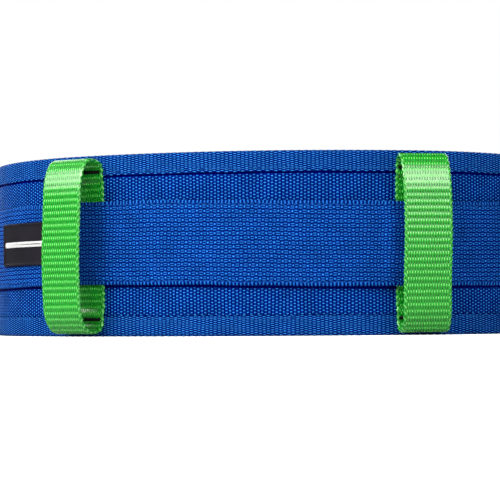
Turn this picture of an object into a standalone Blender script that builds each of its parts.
"""A gait belt, buckled into a ring and standing on its lower edge. Metres, +Z up, front towards -Y.

The panel's outer face follows a closed waist path of arcs with a straight back. A place on the belt is
given as (s, n, z): s is the length along that path from the front centre, positive to the right, n is
the distance outwards from the panel's outer face, and z is the height.
"""

import math

import bmesh
import bpy
from mathutils import Vector

MM = 0.001

# Waist path, half of it, from the front centre to the middle of the back
FRONT_RADIUS = 260 * MM
SIDE_RADIUS = 115 * MM
BACK_RADIUS = 90 * MM
FRONT_TURN = math.radians(21.5)
SIDE_TURN = math.radians(110)
BACK_TURN = math.pi
BACK_STRAIGHT = 76.6 * MM
PATH_ARCS = (
    (FRONT_RADIUS, 0.0, FRONT_TURN),
    (SIDE_RADIUS, FRONT_TURN, SIDE_TURN),
    (BACK_RADIUS, SIDE_TURN, BACK_TURN),
)
HALF_PATH = sum(radius * (end - start) for radius, start, end in PATH_ARCS) + BACK_STRAIGHT

# Layers of webbing
BELT_HEIGHT = 101.6 * MM
GAP = 0.3 * MM
BASE_THICKNESS = 2.0 * MM
TAPE_THICKNESS = 0.9 * MM
BINDING_DEPTH = 11.5 * MM
BINDING_CORNER = 0.4 * MM
PANEL_END = 380 * MM
SEAM_HALF_GAP = 0.15 * MM
STRAP_WIDTH = 46.6 * MM
STRAP_MIDDLE_Z = 51.2 * MM
STRAP_BOTTOM = STRAP_MIDDLE_Z - STRAP_WIDTH / 2
STRAP_TOP = STRAP_MIDDLE_Z + STRAP_WIDTH / 2
STRAP_THICKNESS = 2.0 * MM
STRAP_LIFT = 8 * MM
STRAP_LIFT_CLEARANCE = 1 * MM
STRAP_SKEW = 1 * MM
STRAP_SKEW_SPAN = 180 * MM

# Handles
HANDLE_PLACES = (-285.4 * MM, -94.3 * MM, 96.8 * MM, 287.9 * MM)
HANDLE_LEAN = math.radians(-5.5)
HANDLE_WIDTH = 26.5 * MM
HANDLE_THICKNESS = 1.6 * MM
HANDLE_FLAT_N = GAP + HANDLE_THICKNESS / 2
HANDLE_OVER_BINDING_N = 2 * GAP + TAPE_THICKNESS + HANDLE_THICKNESS / 2
HANDLE_FRONT_N = 21 * MM
HANDLE_TOP = 98.3 * MM
HANDLE_BOTTOM = 2.4 * MM
HANDLE_ROOT_TOP = 93 * MM
HANDLE_ROOT_BOTTOM = 8.6 * MM
ROOT_CURL = 7 * MM
BINDING_CLEARANCE = 1.5 * MM
BINDING_RAMP = 3 * MM
FRONT_CORNER_N = 11 * MM
UPPER_CORNER_Z = 22 * MM
LOWER_CORNER_Z = 15 * MM
FRONT_BOW = 0.8 * MM
STUB_END_ANGLE = math.radians(38)
GRIP_START_ANGLE = math.radians(76)
TACK_HEIGHT = 2 * MM
TACK_THICKNESS = 0.5 * MM
TACK_WIDTH = 24 * MM

# Straps that reach the buckle, each sewn on the last part of the panel
END_STRAP_THICKNESS = 1.6 * MM
SEWN_START = 346 * MM
CENTER_STRAP_END = 367.5 * MM
SEWN_N = GAP + STRAP_THICKNESS + GAP + END_STRAP_THICKNESS / 2
SECOND_LAYER_N = SEWN_N + END_STRAP_THICKNESS + GAP
STITCH_THICKNESS = 0.4 * MM
STITCH_LINE = 1.2 * MM
STITCH_START = 349 * MM
STITCH_END = 377 * MM
STITCH_HALF_HEIGHT = 18 * MM
TAIL_END = 318 * MM
SOCKET_TURN_RADIUS = 3.6 * MM
SOCKET_LEAVE = PANEL_END + 4 * MM
TAIL_FLAT_END = PANEL_END + 6 * MM
TAIL_RAISED = (STITCH_END + 2 * MM, SEWN_START - 4 * MM)
TAIL_DROP = 0.8 * MM
TAIL_GAP = 0.36 * MM

# Buckle, in its own axes: x as the belt, m outwards from its strap line, z from the strap's middle
BUCKLE_N = 4.3 * MM
BUCKLE_HALF_WIDTH = 30 * MM
SLOT_HALF_WIDTH = 24.5 * MM
SHELL_EDGE = 1.2 * MM
CUT_BEYOND = 2 * MM
CUT_OVERLAP = 1 * MM
SOCKET_BACK = -41 * MM
SOCKET_MOUTH = 6 * MM
SOCKET_M = (-3.5 * MM, 9.5 * MM)
SOCKET_CORNER = 5 * MM
CAVITY_M = (-0.5 * MM, 6.5 * MM)
CAVITY_END = -25.5 * MM
CAVITY_HALF_WIDTH = 26.4 * MM
WINDOW_X = (-20.5 * MM, -8 * MM)
WINDOW_MARGIN = 0.4 * MM
WINDOW_OVERLAP = 0.5 * MM
SOCKET_SLOT_X = (-38 * MM, -31 * MM)
SOCKET_BAR_M = (1.2 * MM, 4.8 * MM)
SOCKET_BAR_MIDDLE = -39.4 * MM
PLUG_FACE = 6.6 * MM
PLUG_BLOCK_END = 16 * MM
PLUG_END = 37 * MM
PLUG_M = (-2.5 * MM, 8.5 * MM)
PLUG_CORNER = 3.5 * MM
RAIL_M = (-1.5 * MM, 7.5 * MM)
MIDDLE_BAR_X = (22.4 * MM, 26.4 * MM)
MIDDLE_BAR_M = (1.0 * MM, 4.1 * MM)
MIDDLE_BAR_WRAP = 24.25 * MM
MIDDLE_BAR_LEAVE = 26.0 * MM
OUTER_BAR_START = 33 * MM
OUTER_BAR_M = (2.2 * MM, 6.2 * MM)
TONGUE_TIP = -21 * MM
TONGUE_HALF_WIDTH = 5.5 * MM
TONGUE_M = (1.0 * MM, 5.0 * MM)
ARM_PIVOT_X = 4.0 * MM
ARM_PIVOT_Z = 21.2 * MM
ARM_HALF_THICKNESS = 2.25 * MM
ARM_M = (-0.1 * MM, 6.1 * MM)
ARM_CATCH_X = -8.5 * MM
ARM_PAD_END_X = -17 * MM
ARM_TIP_X = -23.3 * MM
ARM_PAD_Z = 29.0 * MM
PAD_DISH = 0.5 * MM
PAD_STEP = 1.5 * MM
CATCH_SLOPE = 0.2 * MM
NOSE_DROP = 1 * MM
NOSE_BEVEL = 1.5 * MM
KEEPER_S = 403 * MM
KEEPER_LENGTH = 10 * MM
KEEPER_WALL = 1.5 * MM
KEEPER_N = (2.0 * MM, 7.2 * MM)
KEEPER_Z_GAP = 0.7 * MM

LABEL_S = (-165 * MM, -117.5 * MM)
LABEL_Z = (40.8 * MM, 65.4 * MM)
LABEL_BACK_N = 2.6 * MM
LABEL_FACE_N = 3.3 * MM
LABEL_RIM_N = 3.8 * MM
LABEL_RIM_WIDTH = 1.2 * MM
LABEL_RIM_SLOPE = 0.4 * MM

ALONG_STEP = 12 * MM
SAME_POINT = 0.05 * MM

# colour, roughness, metallic
MATERIALS = {
    "blue_webbing": ((0.010, 0.070, 0.420, 1.0), 0.75, 0.0),
    "blue_tape": ((0.014, 0.100, 0.480, 1.0), 0.65, 0.0),
    "green_webbing": ((0.045, 0.520, 0.065, 1.0), 0.6, 0.0),
    "black_thread": ((0.006, 0.006, 0.008, 1.0), 0.7, 0.0),
    "blue_thread": ((0.010, 0.050, 0.300, 1.0), 0.7, 0.0),
    "label_rubber": ((0.020, 0.018, 0.024, 1.0), 0.55, 0.0),
    "black_plastic": ((0.012, 0.012, 0.013, 1.0), 0.4, 0.0),
}


def clear_scene():
    for obj in list(bpy.data.objects):
        bpy.data.objects.remove(obj)


def make_material(name):
    colour, roughness, metallic = MATERIALS[name]
    material = bpy.data.materials.new(name)
    material.use_nodes = True
    shader = material.node_tree.nodes["Principled BSDF"]
    shader.inputs["Base Color"].default_value = colour
    shader.inputs["Roughness"].default_value = roughness
    shader.inputs["Metallic"].default_value = metallic
    return material


def path_frame(s):
    """The point of the waist path at s, before centring, and the heading there."""
    side = math.copysign(1.0, s)
    left = abs(s)
    x = 0.0
    y = 0.0
    heading = 0.0
    for radius, start, end in PATH_ARCS:
        step = min(left, radius * (end - start))
        heading = start + step / radius if step > 0 else heading
        x += radius * (math.sin(heading) - math.sin(start)) if step > 0 else 0.0
        y += radius * (math.cos(start) - math.cos(heading)) if step > 0 else 0.0
        left -= step
    x -= left
    return side * x, y, side * heading


def depth_shift():
    """How far the front centre lies before the middle of the object's depth."""
    reach = HANDLE_FRONT_N + FRONT_BOW + HANDLE_THICKNESS / 2 - HANDLE_OVER_BINDING_N
    foremost = []
    for place in HANDLE_PLACES[1:3]:
        x, y, heading = path_frame(place)
        root_y = y - HANDLE_OVER_BINDING_N * math.cos(heading)
        leaning = heading + HANDLE_LEAN
        side = HANDLE_WIDTH / 2 * abs(math.sin(leaning))
        foremost.append(root_y - reach * math.cos(leaning) - side)
    rearmost = path_frame(HALF_PATH)[1] + BUCKLE_N + SOCKET_M[1]
    return (min(foremost) + rearmost) / 2


DEPTH_SHIFT = depth_shift()


def belt_point(s, n, z):
    """World place of (s, n, z), following the belt's curve."""
    x, y, heading = path_frame(s)
    return Vector((x + n * math.sin(heading), y - n * math.cos(heading) - DEPTH_SHIFT, z))


def handle_frame(place):
    """A function to world for the free part of one handle: across, outwards and up, leaning at its root."""
    root = belt_point(place, HANDLE_OVER_BINDING_N, 0.0)
    leaning = path_frame(place)[2] + HANDLE_LEAN
    across = Vector((math.cos(leaning), math.sin(leaning), 0.0))
    outwards = Vector((math.sin(leaning), -math.cos(leaning), 0.0))
    up = Vector((0.0, 0.0, 1.0))
    return lambda u, n, z: root + across * u + outwards * (n - HANDLE_OVER_BINDING_N) + up * z


def buckle_point(x, m, z):
    """World place of a point in the buckle's axes."""
    back_y = path_frame(HALF_PATH)[1] - DEPTH_SHIFT
    return Vector((x, back_y + BUCKLE_N + m, STRAP_MIDDLE_Z + z))


def back_s(x):
    """The distance along the path, from the front centre, of a place x on the straight back."""
    return HALF_PATH - abs(x)


def spread(start, end, step=ALONG_STEP):
    """Evenly spaced values from start to end, about a step apart."""
    count = max(1, math.ceil(abs(end - start) / step))
    return [start + (end - start) * i / count for i in range(count + 1)]


def ease(start, end, count):
    """Points that leave start and reach end level, in a smooth S."""
    points = []
    for i in range(count + 1):
        t = i / count
        rise = (1 - math.cos(math.pi * t)) / 2
        points.append((start[0] + (end[0] - start[0]) * t, start[1] + (end[1] - start[1]) * rise))
    return points


def arc(centre, radii, start, end, count):
    """Points of an ellipse's arc between two angles."""
    points = []
    for i in range(count + 1):
        angle = start + (end - start) * i / count
        points.append((centre[0] + radii[0] * math.cos(angle), centre[1] + radii[1] * math.sin(angle)))
    return points


def without_repeats(points):
    kept = [points[0]]
    for point in points[1:]:
        if math.dist(point, kept[-1]) > SAME_POINT:
            kept.append(point)
    return kept


def smooth_step(value):
    t = min(1.0, max(0.0, value))
    return t * t * (3 - 2 * t)


def finish(name, mesh, material, pivot=None):
    """Turns a bmesh into a named object, with its origin on a pivot when it moves."""
    bmesh.ops.recalc_face_normals(mesh, faces=mesh.faces)
    data = bpy.data.meshes.new(name)
    if pivot is not None:
        bmesh.ops.translate(mesh, vec=-pivot, verts=mesh.verts)
    mesh.to_mesh(data)
    mesh.free()
    data.materials.append(material)
    obj = bpy.data.objects.new(name, data)
    if pivot is not None:
        obj.location = pivot
    bpy.context.scene.collection.objects.link(obj)
    return obj


def offsets(outline, thickness):
    """Pairs of points on either side of an open outline, half a thickness away."""
    pairs = []
    last = len(outline) - 1
    for i, point in enumerate(outline):
        before = outline[max(0, i - 1)]
        after = outline[min(last, i + 1)]
        length = math.dist(before, after)
        normal = ((before[1] - after[1]) / length, (after[0] - before[0]) / length)
        half = thickness / 2
        pairs.append((
            (point[0] - normal[0] * half, point[1] - normal[1] * half),
            (point[0] + normal[0] * half, point[1] + normal[1] * half),
        ))
    return pairs


def strap(name, outline, thickness, across, place, material, pivot=None):
    """A closed strip: an open outline given a thickness, and carried over the values of across."""
    mesh = bmesh.new()
    rows = []
    for low, high in offsets(without_repeats(outline), thickness):
        under = [mesh.verts.new(place(value, *low)) for value in across]
        over = [mesh.verts.new(place(value, *high)) for value in across]
        rows.append((under, over))
    columns = range(len(across) - 1)
    for (under_a, over_a), (under_b, over_b) in zip(rows, rows[1:]):
        for j in columns:
            mesh.faces.new((under_a[j], under_a[j + 1], under_b[j + 1], under_b[j]))
            mesh.faces.new((over_a[j], over_b[j], over_b[j + 1], over_a[j + 1]))
        for j in (0, len(across) - 1):
            mesh.faces.new((under_a[j], under_b[j], over_b[j], over_a[j]))
    for under, over in (rows[0], rows[-1]):
        for j in columns:
            mesh.faces.new((under[j], over[j], over[j + 1], under[j + 1]))
    return finish(name, mesh, material, pivot)


def along_belt(side):
    """Place function for strips whose outline is (s, n) and whose width is in z."""
    return lambda z, s, n: belt_point(side * s, n, z)


def over_belt(side):
    """Place function for strips whose outline is (n, z) and whose length is along s."""
    return lambda s, n, z: belt_point(side * s, n, z)


def binding_outline(edge_z, inwards):
    """The folded tape's section over an edge, from the inner leg round to the outer leg."""
    inner_n = -BASE_THICKNESS - GAP - TAPE_THICKNESS / 2
    outer_n = GAP + TAPE_THICKNESS / 2
    turn_z = edge_z + inwards * TAPE_THICKNESS / 2
    leg_end = edge_z + inwards * BINDING_DEPTH
    return [
        (inner_n, leg_end),
        (inner_n, turn_z + inwards * BINDING_CORNER),
        (inner_n + BINDING_CORNER, turn_z),
        (outer_n - BINDING_CORNER, turn_z),
        (outer_n, turn_z + inwards * BINDING_CORNER),
        (outer_n, leg_end),
    ]


def make_panel(side, label, blue, tape):
    """Base webbing of one half, with the tape over its upper, lower and end edges."""
    edge = TAPE_THICKNESS + GAP
    stations = spread(SEAM_HALF_GAP, PANEL_END)
    base = [(s, -BASE_THICKNESS / 2) for s in stations]
    strap(f"base_panel_{label}", base, BASE_THICKNESS, (edge, BELT_HEIGHT - edge), along_belt(side), blue)
    tape_end = PANEL_END + GAP + TAPE_THICKNESS
    tape_stations = spread(SEAM_HALF_GAP, tape_end)
    for name, edge_z, inwards in (("top", BELT_HEIGHT, -1), ("bottom", 0.0, 1)):
        outline = binding_outline(edge_z, inwards)
        strap(f"{name}_binding_{label}", outline, TAPE_THICKNESS, tape_stations, over_belt(side), tape)
    inner_n = -BASE_THICKNESS - GAP - TAPE_THICKNESS / 2
    outer_n = GAP + TAPE_THICKNESS / 2
    start = tape_end - BINDING_DEPTH
    turn = tape_end - TAPE_THICKNESS / 2
    outline = [(start, inner_n), (turn, inner_n), (turn, outer_n), (start, outer_n)]
    inside = BINDING_DEPTH + GAP
    across = (inside, BELT_HEIGHT - inside)
    strap(f"end_binding_{label}", outline, TAPE_THICKNESS, across, along_belt(side), tape)


def strap_height(s):
    """How far the centre strap's middle lies from the panel: it rises over each handle's webbing."""
    low = GAP + STRAP_THICKNESS / 2
    rise = HANDLE_THICKNESS + GAP
    nearest = min(abs(s - place) for place in HANDLE_PLACES)
    over = nearest - HANDLE_WIDTH / 2 - STRAP_LIFT_CLEARANCE
    return low + rise * (1 - smooth_step(over / STRAP_LIFT))


def strap_skew(s):
    """How far the centre strap is sewn above its level line: a little high on the left, low on the right."""
    share = max(-1.0, min(1.0, s / STRAP_SKEW_SPAN))
    return -STRAP_SKEW * math.sin(math.pi * share)


def make_center_strap(side, label, blue):
    stations = spread(SEAM_HALF_GAP, CENTER_STRAP_END, ALONG_STEP / 2)
    outline = [(s, strap_height(side * s)) for s in stations]
    across = (STRAP_BOTTOM, STRAP_TOP)

    def place(z, s, n):
        return belt_point(side * s, n, z + strap_skew(side * s))

    strap(f"center_strap_{label}", outline, STRAP_THICKNESS, across, place, blue)


def root_curl(up, start, end, count):
    """The curl where the handle leaves the panel, at its top (up 1) or bottom (up -1)."""
    root_z = HANDLE_ROOT_TOP if up > 0 else HANDLE_ROOT_BOTTOM
    crest_z = HANDLE_TOP if up > 0 else HANDLE_BOTTOM
    centre = (HANDLE_OVER_BINDING_N + ROOT_CURL, root_z)
    return arc(centre, (-ROOT_CURL, crest_z - root_z), start, end, count)


def handle_base_outline():
    """From the lower curl, over the binding, flat under the centre strap and up to the upper curl."""
    over_low = BINDING_DEPTH + BINDING_CLEARANCE
    over_high = BELT_HEIGHT - over_low
    lower = root_curl(-1, STUB_END_ANGLE, 0.0, 4)
    upper = root_curl(1, 0.0, STUB_END_ANGLE, 4)
    flat_low = (over_low + BINDING_RAMP, HANDLE_FLAT_N)
    flat_high = (over_high - BINDING_RAMP, HANDLE_FLAT_N)
    rise_out = ease(flat_low, (over_low, HANDLE_OVER_BINDING_N), 4)
    rise_up = ease(flat_high, (over_high, HANDLE_OVER_BINDING_N), 4)
    flat = [(n, z) for z, n in reversed(rise_out)] + [(n, z) for z, n in rise_up]
    return lower + flat + upper


def handle_grip_outline():
    """From the lower curl's end, round the front, to the upper curl's end."""
    crest_n = HANDLE_OVER_BINDING_N + ROOT_CURL
    corner_n = HANDLE_FRONT_N - FRONT_CORNER_N
    low_z = HANDLE_BOTTOM + LOWER_CORNER_Z
    high_z = HANDLE_TOP - UPPER_CORNER_Z
    lower = root_curl(-1, GRIP_START_ANGLE, math.pi / 2, 2)
    lower.append((crest_n, HANDLE_BOTTOM))
    lower += arc((corner_n, low_z), (FRONT_CORNER_N, LOWER_CORNER_Z), -math.pi / 2, 0.0, 7)
    front = []
    for z in spread(low_z, high_z):
        bow = math.sin(math.pi * (z - low_z) / (high_z - low_z))
        front.append((HANDLE_FRONT_N + FRONT_BOW * bow, z))
    upper = arc((corner_n, high_z), (FRONT_CORNER_N, UPPER_CORNER_Z), 0.0, math.pi / 2, 8)
    upper.append((crest_n, HANDLE_TOP))
    upper += root_curl(1, math.pi / 2, GRIP_START_ANGLE, 2)
    return lower + front + upper


def make_handle(number, place, green, black):
    """One webbing handle: the part sewn to the panel, the free grip and its two bar tacks."""
    half = HANDLE_WIDTH / 2
    across = spread(place - half, place + half, HANDLE_WIDTH / 4)
    follow = over_belt(1)
    strap(f"handle_{number}_base", handle_base_outline(), HANDLE_THICKNESS, across, follow, green)
    rigid = handle_frame(place)
    pivot = rigid(0.0, HANDLE_OVER_BINDING_N, STRAP_MIDDLE_Z)
    outline = handle_grip_outline()
    strap(f"handle_{number}_grip", outline, HANDLE_THICKNESS, (-half, half), rigid, green, pivot)
    tack_n = HANDLE_OVER_BINDING_N + HANDLE_THICKNESS / 2 + GAP + TACK_THICKNESS / 2
    tack_across = spread(place - TACK_WIDTH / 2, place + TACK_WIDTH / 2, TACK_WIDTH / 4)
    for name, z in (("top", HANDLE_ROOT_TOP - TACK_HEIGHT), ("bottom", HANDLE_ROOT_BOTTOM)):
        outline = [(tack_n, z), (tack_n, z + TACK_HEIGHT)]
        strap(f"bartack_{number}_{name}", outline, TACK_THICKNESS, tack_across, follow, black)


def make_label(rubber):
    """Soft patch on the centre strap, a flat face inside a raised rim."""
    rim_in = LABEL_RIM_WIDTH + LABEL_RIM_SLOPE

    def levels(low, high, middle):
        edges = [low, low + LABEL_RIM_WIDTH, low + rim_in]
        return edges + middle + [high - rim_in, high - LABEL_RIM_WIDTH, high]

    inner = spread(LABEL_S[0] + rim_in, LABEL_S[1] - rim_in)[1:-1]
    s_values = levels(LABEL_S[0], LABEL_S[1], inner)
    z_values = levels(LABEL_Z[0], LABEL_Z[1], [])
    mesh = bmesh.new()
    front = []
    back = []
    for i, s in enumerate(s_values):
        on_rim_s = i < 2 or i > len(s_values) - 3
        rims = [on_rim_s or j < 2 or j > len(z_values) - 3 for j in range(len(z_values))]
        heights = [LABEL_RIM_N if rim else LABEL_FACE_N for rim in rims]
        front.append([mesh.verts.new(belt_point(s, n, z)) for n, z in zip(heights, z_values)])
        back.append([mesh.verts.new(belt_point(s, LABEL_BACK_N, z)) for z in z_values])
    last_z = len(z_values) - 1
    for i in range(len(s_values) - 1):
        for j in range(last_z):
            for grid in (front, back):
                mesh.faces.new((grid[i][j], grid[i + 1][j], grid[i + 1][j + 1], grid[i][j + 1]))
        for j in (0, last_z):
            mesh.faces.new((front[i][j], front[i + 1][j], back[i + 1][j], back[i][j]))
    for i in (0, len(s_values) - 1):
        for j in range(last_z):
            mesh.faces.new((front[i][j], front[i][j + 1], back[i][j + 1], back[i][j]))
    finish("label_patch", mesh, rubber)


def make_box_stitch(name, side, n, material):
    """Closed box of thread lines on a sewn strap, as one frame lying at height n."""
    along = spread(STITCH_START, STITCH_END, (STITCH_END - STITCH_START) / 4)
    low_z = STRAP_MIDDLE_Z - STITCH_HALF_HEIGHT
    high_z = STRAP_MIDDLE_Z + STITCH_HALF_HEIGHT
    corners = [(s, low_z) for s in along] + [(s, high_z) for s in reversed(along)]
    middle_s = (STITCH_START + STITCH_END) / 2
    keep_s = 1 - 2 * STITCH_LINE / (STITCH_END - STITCH_START)
    keep_z = 1 - STITCH_LINE / STITCH_HALF_HEIGHT
    top_n = n + STITCH_THICKNESS
    mesh = bmesh.new()
    rings = []
    for s, z in corners:
        inner_s = middle_s + (s - middle_s) * keep_s
        inner_z = STRAP_MIDDLE_Z + (z - STRAP_MIDDLE_Z) * keep_z
        section = ((s, n, z), (s, top_n, z), (inner_s, top_n, inner_z), (inner_s, n, inner_z))
        rings.append([mesh.verts.new(belt_point(side * a, b, c)) for a, b, c in section])
    join_rings(mesh, rings)
    finish(name, mesh, material)


def join_rings(mesh, rings):
    """Faces between neighbouring rings of four points, and from the last ring to the first."""
    for a, b in zip(rings, rings[1:] + rings[:1]):
        for j in range(4):
            k = (j + 1) % 4
            mesh.faces.new((a[j], a[k], b[k], b[j]))


def make_socket_strap(blue, thread):
    """Short strap sewn on the left end, folded round the socket's bar and sewn back on itself."""
    centre_n = BUCKLE_N + (SOCKET_BAR_M[0] + SOCKET_BAR_M[1]) / 2
    centre_s = back_s(SOCKET_BAR_MIDDLE)
    sewn = [(s, SEWN_N) for s in spread(SEWN_START, SOCKET_LEAVE)]
    sewn_back = [(s, SECOND_LAYER_N) for s in spread(SOCKET_LEAVE, SEWN_START)]
    out = ease((SOCKET_LEAVE, SEWN_N), (centre_s, centre_n - SOCKET_TURN_RADIUS), 6)
    radii = (SOCKET_TURN_RADIUS, SOCKET_TURN_RADIUS)
    turn = arc((centre_s, centre_n), radii, -math.pi / 2, math.pi / 2, 10)
    back = ease((centre_s, centre_n + SOCKET_TURN_RADIUS), (SOCKET_LEAVE, SECOND_LAYER_N), 8)
    outline = sewn + out + turn + back + sewn_back
    across = (STRAP_BOTTOM, STRAP_TOP)
    strap("socket_strap", outline, END_STRAP_THICKNESS, across, along_belt(-1), blue)
    stitch_n = SECOND_LAYER_N + END_STRAP_THICKNESS / 2 + GAP
    make_box_stitch("socket_box_stitch", -1, stitch_n, thread)


def make_adjuster_strap(blue, thread):
    """Strap sewn on the right end, round the plug's middle bar and back as a free tail."""
    bar_n = BUCKLE_N + (MIDDLE_BAR_M[0] + MIDDLE_BAR_M[1]) / 2
    turn_radius = bar_n - SEWN_N
    centre_s = back_s(MIDDLE_BAR_WRAP)
    out = [(s, SEWN_N) for s in spread(SEWN_START, centre_s)]
    radii = (turn_radius, turn_radius)
    turn = arc((centre_s, bar_n), radii, -math.pi / 2, math.pi / 2, 10)
    tail_n = SEWN_N + END_STRAP_THICKNESS + TAIL_GAP
    over_bar = back_s(MIDDLE_BAR_LEAVE)
    under_bar = back_s(OUTER_BAR_START)
    down = ease((over_bar, bar_n + turn_radius), (under_bar, tail_n), 10)
    raised_start, raised_end = TAIL_RAISED
    raised_n = tail_n + 2 * STITCH_THICKNESS
    flat = [(s, tail_n) for s in spread(under_bar, TAIL_FLAT_END)]
    lift = ease((TAIL_FLAT_END, tail_n), (raised_start, raised_n), 3)
    above = [(s, raised_n) for s in spread(raised_start, raised_end)]
    settle = ease((raised_end, raised_n), (TAIL_END, tail_n - TAIL_DROP), 5)
    outline = out + turn + down + flat + lift + above + settle
    across = (STRAP_BOTTOM, STRAP_TOP)
    strap("adjuster_strap", outline, END_STRAP_THICKNESS, across, along_belt(1), blue)
    stitch_n = SEWN_N + END_STRAP_THICKNESS / 2 + GAP
    make_box_stitch("adjuster_box_stitch", 1, stitch_n, thread)


def box(name, x, m, z, material=None):
    """A box between two values along each of the buckle's axes."""
    mesh = bmesh.new()
    bmesh.ops.create_cube(mesh, size=1.0)
    low = buckle_point(x[0], m[0], z[0])
    high = buckle_point(x[1], m[1], z[1])
    for vert in mesh.verts:
        vert.co = [low[i] + (vert.co[i] + 0.5) * (high[i] - low[i]) for i in range(3)]
    data = bpy.data.meshes.new(name)
    mesh.to_mesh(data)
    mesh.free()
    if material:
        data.materials.append(material)
    obj = bpy.data.objects.new(name, data)
    bpy.context.scene.collection.objects.link(obj)
    return obj


def round_corners(obj, across_radius, edge_radius):
    """Rounds the corners seen from outside the belt, then softens every edge."""
    mesh = bmesh.new()
    mesh.from_mesh(obj.data)
    mesh.edges.ensure_lookup_table()
    upright = [edge for edge in mesh.edges if abs(edge.verts[0].co.y - edge.verts[1].co.y) > SAME_POINT]
    bmesh.ops.bevel(mesh, geom=upright, offset=across_radius, segments=4, affect="EDGES", profile=0.5)
    mesh.to_mesh(obj.data)
    mesh.free()
    bevel = obj.modifiers.new("soft_edges", "BEVEL")
    bevel.width = edge_radius
    bevel.segments = 2
    bevel.limit_method = "ANGLE"
    bevel.angle_limit = math.radians(60)


def combine(obj, other, operation):
    """Adds or cuts another shape, which is then left as a hidden helper."""
    boolean = obj.modifiers.new(f"{operation.lower()}_{other.name}", "BOOLEAN")
    boolean.operation = operation
    boolean.solver = "EXACT"
    boolean.object = other
    other.hide_render = True
    other.display_type = "WIRE"


def cut_box(obj, name, x, m, z):
    combine(obj, box(f"cutter_{name}", x, m, z), "DIFFERENCE")


def make_socket(plastic):
    """Female half: an open-mouthed shell with side windows, a strap slot and a bar."""
    width = (-BUCKLE_HALF_WIDTH, BUCKLE_HALF_WIDTH)
    slot = (-SLOT_HALF_WIDTH, SLOT_HALF_WIDTH)
    socket = box("buckle_socket", (SOCKET_BACK, SOCKET_MOUTH), SOCKET_M, width, plastic)
    round_corners(socket, SOCKET_CORNER, SHELL_EDGE)
    cavity = (-CAVITY_HALF_WIDTH, CAVITY_HALF_WIDTH)
    cut_box(socket, "cavity", (CAVITY_END, SOCKET_MOUTH + CUT_BEYOND), CAVITY_M, cavity)
    window_m = (CAVITY_M[0] - WINDOW_MARGIN, CAVITY_M[1] + WINDOW_MARGIN)
    near = CAVITY_HALF_WIDTH - WINDOW_OVERLAP
    far = BUCKLE_HALF_WIDTH + CUT_BEYOND
    cut_box(socket, "window_upper", WINDOW_X, window_m, (near, far))
    cut_box(socket, "window_lower", WINDOW_X, window_m, (-far, -near))
    through = (SOCKET_M[0] - CUT_BEYOND, SOCKET_M[1] + CUT_BEYOND)
    cut_box(socket, "strap_slot", SOCKET_SLOT_X, through, slot)
    bar_x = (SOCKET_BACK - CUT_BEYOND, SOCKET_SLOT_X[0] + CUT_OVERLAP)
    cut_box(socket, "over_bar", bar_x, (SOCKET_BAR_M[1], through[1]), slot)
    cut_box(socket, "under_bar", bar_x, (through[0], SOCKET_BAR_M[0]), slot)


def make_plug(plastic):
    """Male half: a stop block with a guide tongue, and a two-bar adjuster for the strap."""
    width = (-BUCKLE_HALF_WIDTH, BUCKLE_HALF_WIDTH)
    slot = (-SLOT_HALF_WIDTH, SLOT_HALF_WIDTH)
    plug = box("buckle_plug", (PLUG_FACE, PLUG_END), PLUG_M, width, plastic)
    round_corners(plug, PLUG_CORNER, SHELL_EDGE)
    through = (PLUG_M[0] - CUT_BEYOND, PLUG_M[1] + CUT_BEYOND)
    ladder = (PLUG_BLOCK_END, PLUG_END + CUT_BEYOND)
    everywhere = (width[0] - CUT_BEYOND, width[1] + CUT_BEYOND)
    cut_box(plug, "rail_top", ladder, (RAIL_M[1], through[1]), everywhere)
    cut_box(plug, "rail_bottom", ladder, (through[0], RAIL_M[0]), everywhere)
    cut_box(plug, "inner_slot", (PLUG_BLOCK_END, MIDDLE_BAR_X[0]), through, slot)
    cut_box(plug, "outer_slot", (MIDDLE_BAR_X[1], OUTER_BAR_START), through, slot)
    middle = (MIDDLE_BAR_X[0] - CUT_OVERLAP, MIDDLE_BAR_X[1] + CUT_OVERLAP)
    cut_box(plug, "over_middle_bar", middle, (MIDDLE_BAR_M[1], through[1]), slot)
    cut_box(plug, "under_middle_bar", middle, (through[0], MIDDLE_BAR_M[0]), slot)
    outer = (OUTER_BAR_START - CUT_OVERLAP, PLUG_END + CUT_BEYOND)
    cut_box(plug, "over_outer_bar", outer, (OUTER_BAR_M[1], through[1]), slot)
    cut_box(plug, "under_outer_bar", outer, (through[0], OUTER_BAR_M[0]), slot)
    tongue_z = (-TONGUE_HALF_WIDTH, TONGUE_HALF_WIDTH)
    combine(plug, box("helper_tongue", (TONGUE_TIP, PLUG_FACE + CUT_BEYOND), TONGUE_M, tongue_z), "UNION")


def arm_outline():
    """Side view of the upper latch arm: round root, slim shaft and a wide head with a catch."""
    inner_z = ARM_PIVOT_Z - ARM_HALF_THICKNESS
    outer_z = ARM_PIVOT_Z + ARM_HALF_THICKNESS
    radii = (ARM_HALF_THICKNESS, ARM_HALF_THICKNESS)
    outline = arc((ARM_PIVOT_X, ARM_PIVOT_Z), radii, -math.pi / 2, math.pi / 2, 8)
    outline.append((ARM_CATCH_X + CATCH_SLOPE, outer_z))
    for x in spread(ARM_CATCH_X, ARM_PAD_END_X, PAD_STEP):
        dish = PAD_DISH * math.sin(math.pi * (ARM_CATCH_X - x) / (ARM_CATCH_X - ARM_PAD_END_X))
        outline.append((x, ARM_PAD_Z - dish))
    outline.append((ARM_TIP_X + NOSE_DROP, outer_z - NOSE_DROP))
    outline.append((ARM_TIP_X, inner_z + NOSE_BEVEL))
    outline.append((ARM_TIP_X + NOSE_BEVEL, inner_z))
    return outline


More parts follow.
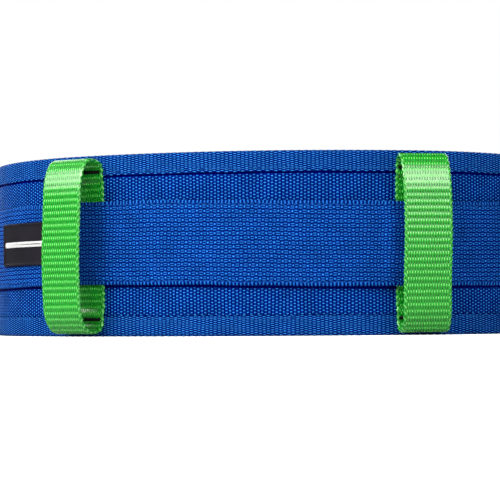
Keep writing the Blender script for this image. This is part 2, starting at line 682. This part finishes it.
def make_latch_arm(name, up, plastic):
    """One squeezable arm, up 1 for the upper and -1 for the lower, with its origin on its pivot."""
    mesh = bmesh.new()
    sides = []
    for m in ARM_M:
        sides.append([mesh.verts.new(buckle_point(x, m, up * z)) for x, z in arm_outline()])
    for side in sides:
        mesh.faces.new(side)
    count = len(sides[0])
    for i in range(count):
        k = (i + 1) % count
        mesh.faces.new((sides[0][i], sides[0][k], sides[1][k], sides[1][i]))
    middle_m = (ARM_M[0] + ARM_M[1]) / 2
    finish(name, mesh, plastic, buckle_point(ARM_PIVOT_X, middle_m, up * ARM_PIVOT_Z))


def make_keeper(plastic):
    """Flat loop round the adjuster strap and its tail."""
    inner_z = STRAP_WIDTH / 2 + KEEPER_Z_GAP
    outer_z = inner_z + KEEPER_WALL
    mesh = bmesh.new()
    rings = []
    low_n, high_n = KEEPER_N
    inner = ((low_n, -inner_z), (high_n, -inner_z), (high_n, inner_z), (low_n, inner_z))
    outer_low = low_n - KEEPER_WALL
    outer_high = high_n + KEEPER_WALL
    outer = ((outer_low, -outer_z), (outer_high, -outer_z), (outer_high, outer_z), (outer_low, outer_z))
    for corner_in, corner_out in zip(inner, outer):
        ring = []
        for s, (n, z) in (
            (KEEPER_S - KEEPER_LENGTH / 2, corner_in),
            (KEEPER_S - KEEPER_LENGTH / 2, corner_out),
            (KEEPER_S + KEEPER_LENGTH / 2, corner_out),
            (KEEPER_S + KEEPER_LENGTH / 2, corner_in),
        ):
            ring.append(mesh.verts.new(belt_point(s, n, STRAP_MIDDLE_Z + z)))
        rings.append(ring)
    join_rings(mesh, rings)
    centre = belt_point(KEEPER_S, (low_n + high_n) / 2, STRAP_MIDDLE_Z)
    finish("strap_keeper", mesh, plastic, centre)


def build():
    clear_scene()
    materials = {name: make_material(name) for name in MATERIALS}
    for side, label in ((-1, "left"), (1, "right")):
        make_panel(side, label, materials["blue_webbing"], materials["blue_tape"])
        make_center_strap(side, label, materials["blue_webbing"])
    for number, place in enumerate(HANDLE_PLACES, start=1):
        make_handle(number, place, materials["green_webbing"], materials["black_thread"])
    make_label(materials["label_rubber"])
    make_socket_strap(materials["blue_webbing"], materials["blue_thread"])
    make_adjuster_strap(materials["blue_webbing"], materials["blue_thread"])
    make_socket(materials["black_plastic"])
    make_plug(materials["black_plastic"])
    make_latch_arm("latch_arm_upper", 1, materials["black_plastic"])
    make_latch_arm("latch_arm_lower", -1, materials["black_plastic"])
    make_keeper(materials["black_plastic"])


build()
